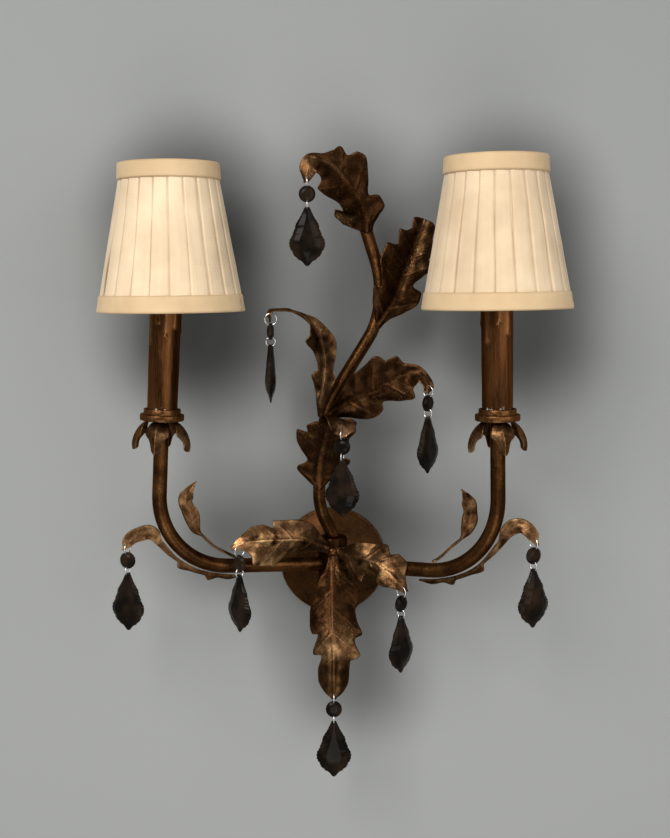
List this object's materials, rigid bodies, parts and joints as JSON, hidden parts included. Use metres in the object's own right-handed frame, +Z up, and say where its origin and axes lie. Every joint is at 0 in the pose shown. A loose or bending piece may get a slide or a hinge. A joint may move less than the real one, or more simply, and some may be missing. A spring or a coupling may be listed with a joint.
{
  "type": "wall lamp",
  "caption": "Wall lamp with bent tube arms, candle sleeves, pleated cone shades, a branch of oak leaves and hanging faceted black drops.",
  "frame": {"origin": "centre of the mounting bar's two screw holes, in the plane of the wall", "axes": "+X to the right along the wall as the lamp is looked at, +Y into the wall, +Z up"},
  "size_m": [0.4025, 0.1905, 0.5595],
  "materials": {
    "bronze": "aged dark bronze over steel",
    "leaf_bronze": "aged bronze with gold rubbed on the veins",
    "candle_bronze": "streaked bronze paint",
    "zinc_steel": "zinc plated",
    "flex_cover": "plain",
    "holder_black": "plain",
    "clip_brass": "plain wire",
    "lamp_glass": "clear",
    "frame_white": "white wire",
    "pleated_silk": "pleated cream cloth",
    "satin_band": "satin ribbon",
    "black_crystal": "faceted black glass"
  },
  "bodies": {
    "lamp": {"backplate": "bronze", "mounting_bar": "zinc_steel", "centre_nipple": "zinc_steel", "hub": "bronze", "nipple_nuts": "zinc_steel", "leaf_screw": "bronze", "arm_left": "bronze", "arm_right": "bronze", "wiring": "flex_cover", "stem": "bronze", "leaf_top": "leaf_bronze", "leaf_upper_right": "leaf_bronze", "leaf_middle_right": "leaf_bronze", "leaf_upper_left": "leaf_bronze", "leaf_lower_left": "leaf_bronze", "leaf_centre_left": "leaf_bronze", "leaf_centre_right": "leaf_bronze", "leaf_centre_bottom": "leaf_bronze", "sprig_left_inner": "leaf_bronze", "sprig_left_outer": "leaf_bronze", "sprig_right_inner": "leaf_bronze", "sprig_right_outer": "leaf_bronze", "petals_left": "bronze", "drip_pan_left": "bronze", "candle_sleeve_left": "candle_bronze", "socket_left": "holder_black", "bulb_left": "lamp_glass", "petals_right": "bronze", "drip_pan_right": "bronze", "candle_sleeve_right": "candle_bronze", "socket_right": "holder_black", "bulb_right": "lamp_glass"},
    "bead_top": {"bead_top": "black_crystal"},
    "drop_top": {"drop_top": "black_crystal"},
    "bead_upper_left": {"bead_upper_left": "black_crystal"},
    "drop_upper_left": {"drop_upper_left": "black_crystal"},
    "bead_middle_right": {"bead_middle_right": "black_crystal"},
    "drop_middle_right": {"drop_middle_right": "black_crystal"},
    "bead_lower_left": {"bead_lower_left": "black_crystal"},
    "drop_lower_left": {"drop_lower_left": "black_crystal"},
    "bead_outer_left": {"bead_outer_left": "black_crystal"},
    "drop_outer_left": {"drop_outer_left": "black_crystal"},
    "bead_centre_left": {"bead_centre_left": "black_crystal"},
    "drop_centre_left": {"drop_centre_left": "black_crystal"},
    "bead_centre_right": {"bead_centre_right": "black_crystal"},
    "drop_centre_right": {"drop_centre_right": "black_crystal"},
    "bead_outer_right": {"bead_outer_right": "black_crystal"},
    "drop_outer_right": {"drop_outer_right": "black_crystal"},
    "bead_bottom": {"bead_bottom": "black_crystal"},
    "drop_bottom": {"drop_bottom": "black_crystal"},
    "clip_left": {"bulb_clip_left": "clip_brass"},
    "shade_left": {"shade_frame_left": "frame_white", "shade_cover_left": "pleated_silk", "shade_bands_left": "satin_band"},
    "clip_right": {"bulb_clip_right": "clip_brass"},
    "shade_right": {"shade_frame_right": "frame_white", "shade_cover_right": "pleated_silk", "shade_bands_right": "satin_band"}
  },
  "joints": [
    {"name": "bead_top_swing", "type": "hinge", "parent": "lamp", "child": "bead_top", "pos_m": [-0.02174, -0.10196, 0.35496], "axis": [0, 1, 0], "range_deg": [-20, 20]},
    {"name": "drop_top_swing", "type": "hinge", "parent": "bead_top", "child": "drop_top", "pos_m": [-0.02174, -0.10196, 0.33026], "axis": [1, 0, 0], "range_deg": [-20, 20]},
    {"name": "bead_upper_left_swing", "type": "hinge", "parent": "lamp", "child": "bead_upper_left", "pos_m": [-0.05314, -0.10381, 0.23794], "axis": [1, 0, 0], "range_deg": [-20, 20]},
    {"name": "drop_upper_left_swing", "type": "hinge", "parent": "bead_upper_left", "child": "drop_upper_left", "pos_m": [-0.05314, -0.10381, 0.21324], "axis": [0, -1, 0], "range_deg": [-20, 20]},
    {"name": "bead_middle_right_swing", "type": "hinge", "parent": "lamp", "child": "bead_middle_right", "pos_m": [0.08248, -0.09488, 0.17539], "axis": [-0.766, 0.6428, 0], "range_deg": [-20, 20]},
    {"name": "drop_middle_right_swing", "type": "hinge", "parent": "bead_middle_right", "child": "drop_middle_right", "pos_m": [0.08248, -0.09488, 0.15069], "axis": [0.6428, 0.766, 0], "range_deg": [-20, 20]},
    {"name": "bead_lower_left_swing", "type": "hinge", "parent": "lamp", "child": "bead_lower_left", "pos_m": [0.00829, -0.09824, 0.13799], "axis": [0.309, 0.9511, 0], "range_deg": [-20, 20]},
    {"name": "drop_lower_left_swing", "type": "hinge", "parent": "bead_lower_left", "child": "drop_lower_left", "pos_m": [0.00829, -0.09824, 0.11329], "axis": [0.9511, -0.309, 0], "range_deg": [-20, 20]},
    {"name": "bead_outer_left_swing", "type": "hinge", "parent": "lamp", "child": "bead_outer_left", "pos_m": [-0.17706, -0.10541, 0.04022], "axis": [0.342, 0.9397, 0], "range_deg": [-20, 20]},
    {"name": "drop_outer_left_swing", "type": "hinge", "parent": "bead_outer_left", "child": "drop_outer_left", "pos_m": [-0.17706, -0.10541, 0.01552], "axis": [0.9397, -0.342, 0], "range_deg": [-20, 20]},
    {"name": "bead_centre_left_swing", "type": "hinge", "parent": "lamp", "child": "bead_centre_left", "pos_m": [-0.08161, -0.0928, 0.03475], "axis": [0.7193, 0.6947, 0], "range_deg": [-10, 10]},
    {"name": "drop_centre_left_swing", "type": "hinge", "parent": "bead_centre_left", "child": "drop_centre_left", "pos_m": [-0.08161, -0.0928, 0.01005], "axis": [0.6947, -0.7193, 0], "range_deg": [-10, 10]},
    {"name": "bead_centre_right_swing", "type": "hinge", "parent": "lamp", "child": "bead_centre_right", "pos_m": [0.05975, -0.09719, -0.00015], "axis": [-0.7071, 0.7071, 0], "range_deg": [-10, 10]},
    {"name": "drop_centre_right_swing", "type": "hinge", "parent": "bead_centre_right", "child": "drop_centre_right", "pos_m": [0.05975, -0.09719, -0.02485], "axis": [0.7071, 0.7071, 0], "range_deg": [-10, 10]},
    {"name": "bead_outer_right_swing", "type": "hinge", "parent": "lamp", "child": "bead_outer_right", "pos_m": [0.16836, -0.13513, 0.05137], "axis": [-0.4695, 0.8829, 0], "range_deg": [-20, 20]},
    {"name": "drop_outer_right_swing", "type": "hinge", "parent": "bead_outer_right", "child": "drop_outer_right", "pos_m": [0.16836, -0.13513, 0.02667], "axis": [0.8829, 0.4695, 0], "range_deg": [-20, 20]},
    {"name": "bead_bottom_swing", "type": "hinge", "parent": "lamp", "child": "bead_bottom", "pos_m": [0.001, -0.08515, -0.09848], "axis": [0, 1, 0], "range_deg": [-20, 20]},
    {"name": "drop_bottom_swing", "type": "hinge", "parent": "bead_bottom", "child": "drop_bottom", "pos_m": [0.001, -0.08515, -0.12318], "axis": [1, 0, 0], "range_deg": [-20, 20]},
    {"name": "shade_left_lift", "type": "slide", "parent": "lamp", "child": "clip_left", "axis": [0.0419, 0, 0.9991], "range_m": [0, 0.13]},
    {"name": "shade_left_turn", "type": "hinge", "parent": "clip_left", "child": "shade_left", "pos_m": [-0.13934, -0.1, 0.33294], "axis": [-0.0105, 0, 0.9999], "continuous": true},
    {"name": "shade_right_lift", "type": "slide", "parent": "lamp", "child": "clip_right", "axis": [-0.014, 0, 0.9999], "range_m": [0, 0.13]},
    {"name": "shade_right_turn", "type": "hinge", "parent": "clip_right", "child": "shade_right", "pos_m": [0.13578, -0.127, 0.33608], "axis": [-0.014, 0, 0.9999], "continuous": true}
  ]
}
